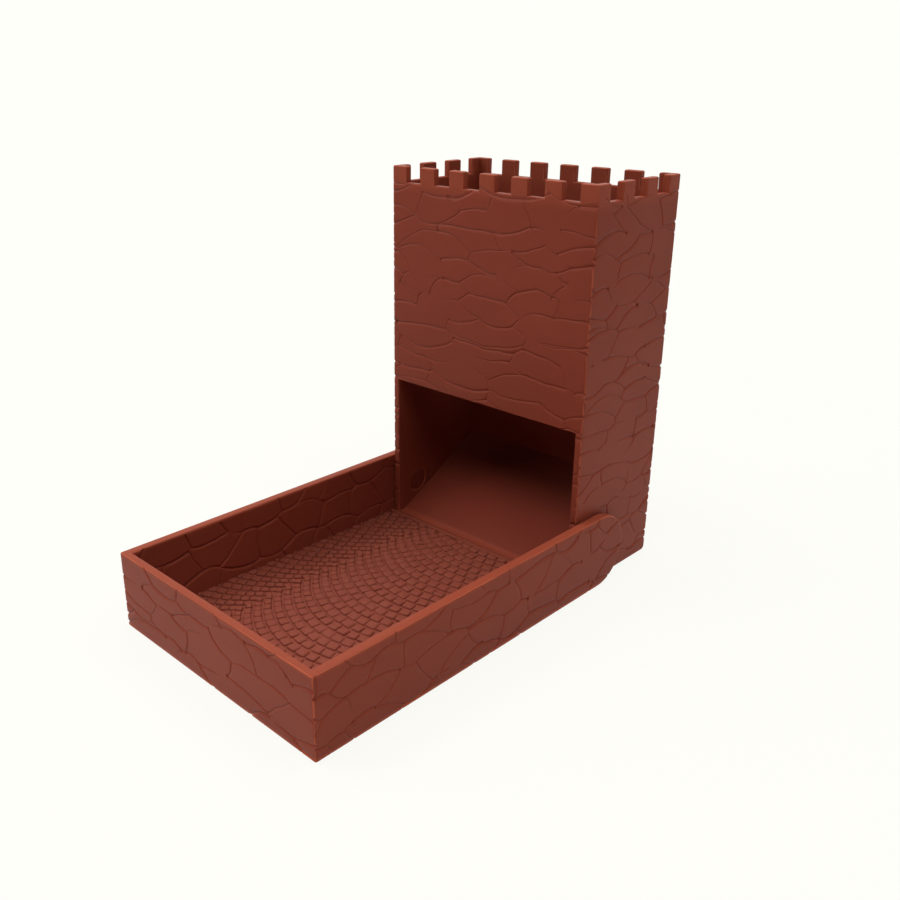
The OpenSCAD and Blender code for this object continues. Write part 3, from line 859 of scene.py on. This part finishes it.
def paving_tree():
    """A tree that lays one sett out as a floor of arcs, on a slab."""
    tree, given = start_tree("setts_in_arcs", PAVING_INPUTS)
    in_row, rows, columns = given["Setts in a row"], given["Rows"], given["Columns"]
    half, radius, pitch = given["Half spread"], given["Arc radius"], given["Row pitch"]
    seed = given["Seed"]

    # The sett's number gives its place in the row, its row and its column
    lines = add_node(tree, MATH, {0: rows, 1: columns}, operation="MULTIPLY")
    count = add_node(tree, MATH, {0: in_row, 1: lines}, operation="MULTIPLY")
    number = add_node(tree, "GeometryNodeInputIndex")
    place = add_node(tree, MATH, {0: number, 1: in_row}, operation="MODULO")
    rows_before = add_node(tree, MATH, {0: number, 1: in_row}, operation="DIVIDE")
    line = add_node(tree, MATH, {0: rows_before}, operation="FLOOR")
    row = add_node(tree, MATH, {0: line, 1: rows}, operation="MODULO")
    columns_before = add_node(tree, MATH, {0: line, 1: rows}, operation="DIVIDE")
    column = add_node(tree, MATH, {0: columns_before}, operation="FLOOR")

    # Its angle on the arc: half a sett over in every other row, and a little by chance. The angles lie
    # closer together towards the ends of the arc
    odd = add_node(tree, MATH, {0: row, 1: 2.0}, operation="MODULO")
    bond = add_node(tree, MATH, {0: odd, 1: 0.5, 2: 0.25}, operation="MULTIPLY_ADD")
    chance = add_node(tree, RANDOM, {
        "Min": -SETT_SHIFT, "Max": SETT_SHIFT, "Seed": seed}, data_type="FLOAT")
    shift = add_node(tree, MATH, {0: bond, 1: chance}, operation="ADD")
    along = add_node(tree, MATH, {0: place, 1: shift}, operation="ADD")
    sweep = add_node(tree, MATH, {0: half, 1: 2.0}, operation="MULTIPLY")
    step = add_node(tree, MATH, {0: sweep, 1: in_row}, operation="DIVIDE")
    swept = add_node(tree, MATH, {0: along, 1: step}, operation="MULTIPLY")
    spread = add_node(tree, MATH, {0: swept, 1: half}, operation="SUBTRACT")
    slope = add_node(tree, MATH, {0: spread}, operation="SINH")
    angle = add_node(tree, MATH, {0: slope}, operation="ARCTANGENT")

    # Its place on the floor
    sine = add_node(tree, MATH, {0: angle}, operation="SINE")
    cosine = add_node(tree, MATH, {0: angle}, operation="COSINE")
    middle = add_node(tree, MATH, {0: columns, 1: -0.5, 2: 0.5}, operation="MULTIPLY_ADD")
    offset = add_node(tree, MATH, {0: column, 1: middle}, operation="ADD")
    axis = add_node(tree, MATH, {0: offset, 1: given["Column width"]}, operation="MULTIPLY")
    x = add_node(tree, MATH, {0: radius, 1: sine, 2: axis}, operation="MULTIPLY_ADD")
    sagitta = add_node(tree, MATH, {0: 1.0, 1: cosine}, operation="SUBTRACT")
    rise = add_node(tree, MATH, {0: radius, 1: sagitta}, operation="MULTIPLY")
    row_y = add_node(tree, MATH, {0: row, 1: pitch}, operation="MULTIPLY")
    y = add_node(tree, MATH, {0: rise, 1: row_y}, operation="SUBTRACT")

    # Its height: a little lower by chance, but the first sett of each row stands proud of its neighbours
    lowest = add_node(tree, MATH, {0: given["Uneven"], 1: -1.0}, operation="MULTIPLY")
    drop = add_node(tree, RANDOM, {
        "Min": lowest, "Max": 0.0, "Seed": seed}, data_type="FLOAT")
    first = add_node(tree, MATH, {0: place, 1: 0.5}, operation="LESS_THAN")
    z = add_node(tree, MATH, {0: first, 1: given["Proud"], 2: drop}, operation="MULTIPLY_ADD")
    spot = add_node(tree, COMBINE, {"X": x, "Y": y, "Z": z})
    laid = add_node(tree, VECTOR_MATH, {0: spot, 1: given["Start"]}, operation="ADD")
    points = add_node(tree, "GeometryNodePoints", {"Count": count, "Position": laid})

    # Its turn and size
    lean = add_node(tree, RANDOM, {
        "Min": (-1, -1, -1), "Max": (1, 1, 1), "Seed": seed}, data_type="FLOAT_VECTOR")
    tilted = add_node(tree, VECTOR_MATH, {0: lean, "Scale": given["Tilt"]}, operation="SCALE")
    heading = add_node(tree, COMBINE, {"Z": angle})
    turn = add_node(tree, VECTOR_MATH, {0: tilted, 1: heading}, operation="ADD")
    most = add_node(tree, MATH, {0: radius, 1: step}, operation="MULTIPLY")
    share = add_node(tree, MATH, {0: most, 1: cosine}, operation="MULTIPLY")
    wide = add_node(tree, MATH, {0: share, 1: given["Cross joint"]}, operation="SUBTRACT")
    row_depth = add_node(tree, MATH, {0: pitch, 1: cosine}, operation="MULTIPLY")
    deep = add_node(tree, MATH, {0: row_depth, 1: given["Row joint"]}, operation="SUBTRACT")
    size = add_node(tree, COMBINE, {"X": wide, "Y": deep, "Z": 1.0})
    vary = add_node(tree, RANDOM, {
        "Min": SMALLEST_SETT, "Max": LARGEST_SETT, "Seed": seed}, data_type="FLOAT_VECTOR")
    scale = add_node(tree, VECTOR_MATH, {0: size, 1: vary}, operation="MULTIPLY")
    setts = add_node(tree, "GeometryNodeInstanceOnPoints", {
        "Points": points, "Instance": given["Geometry"], "Rotation": turn, "Scale": scale})

    # The setts stand on a slab and become one with it
    cube = add_node(tree, "GeometryNodeMeshCube", {"Size": given["Slab size"]})
    slab = add_node(tree, "GeometryNodeTransform", {"Geometry": cube, "Translation": given["Slab centre"]})
    floor = add_node(tree, "GeometryNodeMeshBoolean", {1: slab}, operation="UNION", solver="MANIFOLD")
    tree.links.new(setts.outputs["Instances"], floor.inputs[1])
    return end_tree(tree, floor, given["Material"])


# %% Paved floor
SETTS_IN_ROW = 20
ARC_COLUMNS = 3
COLUMN_WIDTH = 57 * MM
COLUMN_X = 4.5 * MM
HALF_ANGLE = math.radians(49)
HALF_SPREAD = math.asinh(math.tan(HALF_ANGLE))
ROW_PITCH = 3.75 * MM
ROW_JOINT = 0.7 * MM
CROSS_JOINT = 0.22 * MM
UNEVEN = 0.2 * MM
PROUD = 0.2 * MM
TILT = math.radians(4)
JOINT_DEPTH = 0.8 * MM
PLAIN_END = 1.2 * MM
END_GAP = 0.2 * MM
CLEAR = 0.2 * MM

radius = COLUMN_WIDTH / 2 / math.sin(HALF_ANGLE)
arc_rise = radius * (1 - math.cos(HALF_ANGLE))
floor_length = floor_end_y - front_in_y
slab_h = floor_top - JOINT_DEPTH
paving = sett()
apply_tree(paving, paving_tree(), {
    "Setts in a row": SETTS_IN_ROW, "Rows": math.ceil((floor_length + arc_rise) / ROW_PITCH),
    "Columns": ARC_COLUMNS, "Column width": COLUMN_WIDTH, "Arc radius": radius,
    "Half spread": HALF_SPREAD, "Row pitch": ROW_PITCH, "Row joint": ROW_JOINT, "Cross joint": CROSS_JOINT,
    "Start": (COLUMN_X, floor_end_y - ROW_PITCH / 2, floor_top), "Uneven": UNEVEN, "Proud": PROUD,
    "Tilt": TILT, "Slab size": (2 * tray_in_x, floor_length, slab_h),
    "Slab centre": (0, front_in_y + floor_length / 2, slab_h / 2), "Seed": 31, "Material": paving_plastic})
freeze(paving)
low, high = (-tray_in_x, front_in_y, 0), (tray_in_x, floor_end_y, floor_top + CLEAR)
combine(paving, "INTERSECT", block("keep", low, high), solver="MANIFOLD")
low, high = (-tray_in_x, floor_end_y - PLAIN_END, 0), (tray_in_x, tower_y - END_GAP, floor_top)
combine(paving, "UNION", block("plain_end", low, high), solver="MANIFOLD")
finish_piece(paving, "tray", "tray_floor")

# %% [markdown]
# ## Ramp, baffles and pins
# These are plain moulded parts, and the frame already has their exact shape. A copy of each node is
# merged into clean faces, cut back to the part that shows, and given soft edges. Their plastic is a
# little smoother than the walls', because dice have to slide on it.


# %% Plain parts
PLAIN_EDGE = 0.25 * MM
PLAIN_CREASE = 20
SAME_POINT = 0.001 * MM
FLAT_ANGLE = math.radians(1)


def dressed_copy(node_name, piece_name, reach):
    """A copy of a frame node with clean faces and soft edges, cut off at a reach to each side."""
    build = bmesh.new()
    build.from_mesh(frame["nodes"][node_name].data)
    bmesh.ops.remove_doubles(build, verts=build.verts, dist=SAME_POINT)
    bmesh.ops.dissolve_limit(build, angle_limit=FLAT_ANGLE, verts=build.verts, edges=build.edges)
    piece = new_piece(piece_name, build)
    keep = block("keep", (-reach, -FAR, -FAR), (reach, FAR, FAR))
    combine(piece, "INTERSECT", keep, solver="MANIFOLD")
    soften(piece, PLAIN_EDGE)
    piece.data.materials.clear()
    piece.data.materials.append(smooth_plastic)
    return piece


for node_name, piece_name in (
        ("exit_ramp", "sliding_ramp"), ("upper_baffle", "upper_tumbler"),
        ("lower_baffle", "lower_tumbler")):
    plain = dressed_copy(node_name, piece_name, tower_in_x)
    finish_piece(plain, "tower", node_name, PLAIN_CREASE)
for node_name, piece_name in (("left_hinge_pin", "left_pivot"), ("right_hinge_pin", "right_pivot")):
    plain = dressed_copy(node_name, piece_name, tray_x)
    finish_piece(plain, "tray", node_name, PLAIN_CREASE)

# %% [markdown]
# ## Studio
# The photograph's ground is almost pure white and lit from above. White paper throws light back up at
# the outer walls, while the tray's inside and the mouth, which cannot see the paper, stay dark. The light
# itself is a soft ring high over the table, with a small softbox in front. What the camera sees, and what
# is mirrored in the plastic, is plain white paper in every direction.

# %% Paper ground
FLOOR_R = 0.5
FLOOR_SIDES = 96
FADE_FROM = 0.12
FADE_TO = 0.4
NEAR_SHARE = 0.9
PAPER = "#fffffa"
FLOOR_PAINT = "#ece9e4"


def sees_paper(tree):
    """1 for rays of the camera, of gloss and of glass, which see the ground as plain white."""
    path = add_node(tree, "ShaderNodeLightPath").outputs
    direct = add_node(tree, MATH, {
        0: path["Is Camera Ray"], 1: path["Is Glossy Ray"]}, operation="MAXIMUM")
    return add_node(tree, MATH, {
        0: direct, 1: path["Is Transmission Ray"]}, operation="MAXIMUM")


floor_build = bmesh.new()
bmesh.ops.create_circle(floor_build, cap_ends=True, segments=FLOOR_SIDES, radius=FLOOR_R)
floor = new_piece("floor", floor_build)
floor_paint = bpy.data.materials.new("white_paper_floor")
floor_paint.use_nodes = True
tree = floor_paint.node_tree
tree.nodes.clear()
spot = add_node(tree, "ShaderNodeTexCoord").outputs["Object"]
reach = add_node(tree, VECTOR_MATH, {0: spot}, operation="LENGTH")
fade = add_node(tree, "ShaderNodeMapRange", {
    "Value": reach, "From Min": FADE_FROM, "From Max": FADE_TO, "To Min": NEAR_SHARE, "To Max": 1.0})
share = add_node(tree, MATH, {0: sees_paper(tree), 1: fade}, operation="MULTIPLY")
matt = add_node(tree, "ShaderNodeBsdfDiffuse", {"Color": linear(FLOOR_PAINT)})
glow = add_node(tree, "ShaderNodeEmission", {"Color": linear(PAPER)})
mixed = add_node(tree, "ShaderNodeMixShader", {0: share, 1: matt, 2: glow})
add_node(tree, "ShaderNodeOutputMaterial", {"Surface": mixed})
floor.data.materials.append(floor_paint)

# %% Ring of light
RING_FROM = 47
RING_TO = 66
RING_LIGHT = 3.4
ROOM_LIGHT = 0.03
LAMP_COLOUR = "#fffdf8"

ring_low, ring_high = [math.sin(math.radians(angle)) for angle in (RING_FROM, RING_TO)]
world = bpy.data.worlds.new("studio")
world.use_nodes = True
tree = world.node_tree
tree.nodes.clear()
way = add_node(tree, "ShaderNodeTexCoord").outputs["Generated"]
height = add_node(tree, SEPARATE, {0: way}).outputs["Z"]
ring = add_node(tree, MATH, {
    0: height, 1: (ring_low + ring_high) / 2, 2: (ring_high - ring_low) / 2}, operation="COMPARE")
level = add_node(tree, MATH, {0: ring, 1: RING_LIGHT, 2: ROOM_LIGHT}, operation="MULTIPLY_ADD")
room = add_node(tree, "ShaderNodeBackground", {"Color": linear(LAMP_COLOUR), "Strength": level})
paper = add_node(tree, "ShaderNodeBackground", {"Color": linear(PAPER)})
mixed = add_node(tree, "ShaderNodeMixShader", {0: sees_paper(tree), 1: room, 2: paper})
add_node(tree, "ShaderNodeOutputWorld", {"Surface": mixed})
bpy.context.scene.world = world

# %% Softbox
SOFTBOX_PLACE = Vector((-0.75, -0.5, 0.65))
SOFTBOX_AIM = Vector((0, 0, 0.05))
SOFTBOX_SIZE = 0.6
SOFTBOX_POWER = 3.5

lamp_data = bpy.data.lights.new("softbox", "AREA")
lamp_data.shape = "SQUARE"
lamp_data.size = SOFTBOX_SIZE
lamp_data.energy = SOFTBOX_POWER
lamp = bpy.data.objects.new("softbox", lamp_data)
lamp.location = SOFTBOX_PLACE
lamp.rotation_euler = (SOFTBOX_AIM - SOFTBOX_PLACE).to_track_quat("-Z", "Y").to_euler()
bpy.context.scene.collection.objects.link(lamp)
bpy.context.scene.view_settings.view_transform = "Standard"
print("ring of light from", RING_FROM, "to", RING_TO, "degrees")
